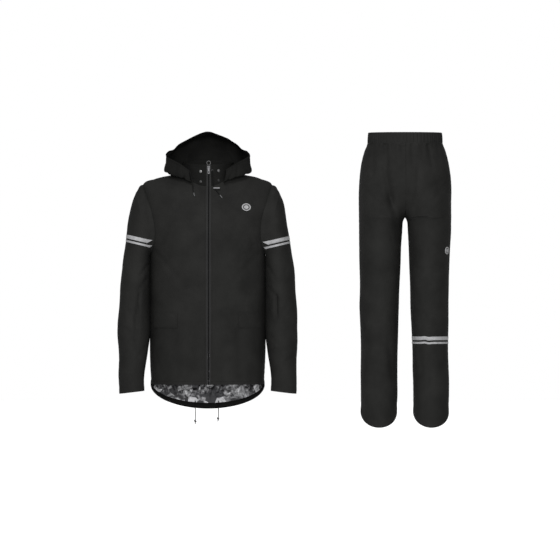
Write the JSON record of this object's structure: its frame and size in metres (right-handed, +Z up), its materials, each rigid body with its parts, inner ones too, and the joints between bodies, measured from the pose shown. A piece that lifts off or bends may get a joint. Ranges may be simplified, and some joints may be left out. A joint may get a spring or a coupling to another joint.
{
  "type": "rain suit",
  "caption": "Hooded rain jacket and rain over-trousers, filled out as when worn and standing side by side",
  "frame": {"origin": "between the shoulders of the jacket, where the wearer's shoulders carry it", "axes": "+X from the wearer's right to the wearer's left and on to the trousers, +Y to the back, +Z up"},
  "size_m": [1.2649, 0.3105, 1.1225],
  "materials": {
    "rain_cloth": "matte coated cloth",
    "silver_lining": "silvered lining",
    "dark_facing": "matte",
    "reflective_tape": "light grey reflective",
    "zip_tape": "woven tape",
    "zip_chain": "matte",
    "grey_metal": "painted grey",
    "black_cord": "braided"
  },
  "bodies": {
    "suit": {"jacket_front_left": "rain_cloth", "jacket_front_right": "rain_cloth", "jacket_back": "rain_cloth", "sleeve_left": "rain_cloth", "sleeve_right": "rain_cloth", "hood_left": "rain_cloth", "hood_centre": "rain_cloth", "hood_right": "rain_cloth", "collar_left": "rain_cloth", "collar_right": "rain_cloth", "pocket_flap_left": "rain_cloth", "pocket_flap_right": "rain_cloth", "trouser_front_left": "rain_cloth", "trouser_front_right": "rain_cloth", "trouser_back_left": "rain_cloth", "trouser_back_right": "rain_cloth", "waistband": "rain_cloth", "back_lining": "silver_lining", "tail_facing": "dark_facing", "sleeve_stripe_wide_left": "reflective_tape", "sleeve_stripe_narrow_left": "reflective_tape", "sleeve_stripe_wide_right": "reflective_tape", "sleeve_stripe_narrow_right": "reflective_tape", "leg_stripe_wide": "reflective_tape", "leg_stripe_narrow": "reflective_tape", "zip_tape_left": "zip_tape", "zip_tape_right": "zip_tape", "zip_chain": "zip_chain", "zip_slider": "grey_metal", "stud_upper_left": "grey_metal", "stud_upper_right": "grey_metal", "stud_lower_left": "grey_metal", "stud_lower_right": "grey_metal", "collar_eyelet": "grey_metal", "cord_stop": "grey_metal", "hood_cord_left_tip": "grey_metal", "hood_cord_right_tip": "grey_metal", "zip_loop": "black_cord", "hem_cord_left": "black_cord", "hem_cord_right": "black_cord", "hem_cord_left_knot": "black_cord", "hem_cord_right_knot": "black_cord", "hood_cord_left": "black_cord", "hood_cord_right": "black_cord"},
    "pull": {"zip_pull": "grey_metal"}
  },
  "joints": [
    {"name": "pull_swing", "type": "hinge", "parent": "suit", "child": "pull", "pos_m": [0.0048, -0.09975, 0.0782], "axis": [1, 0, 0], "range_deg": [-165, 0]}
  ]
}
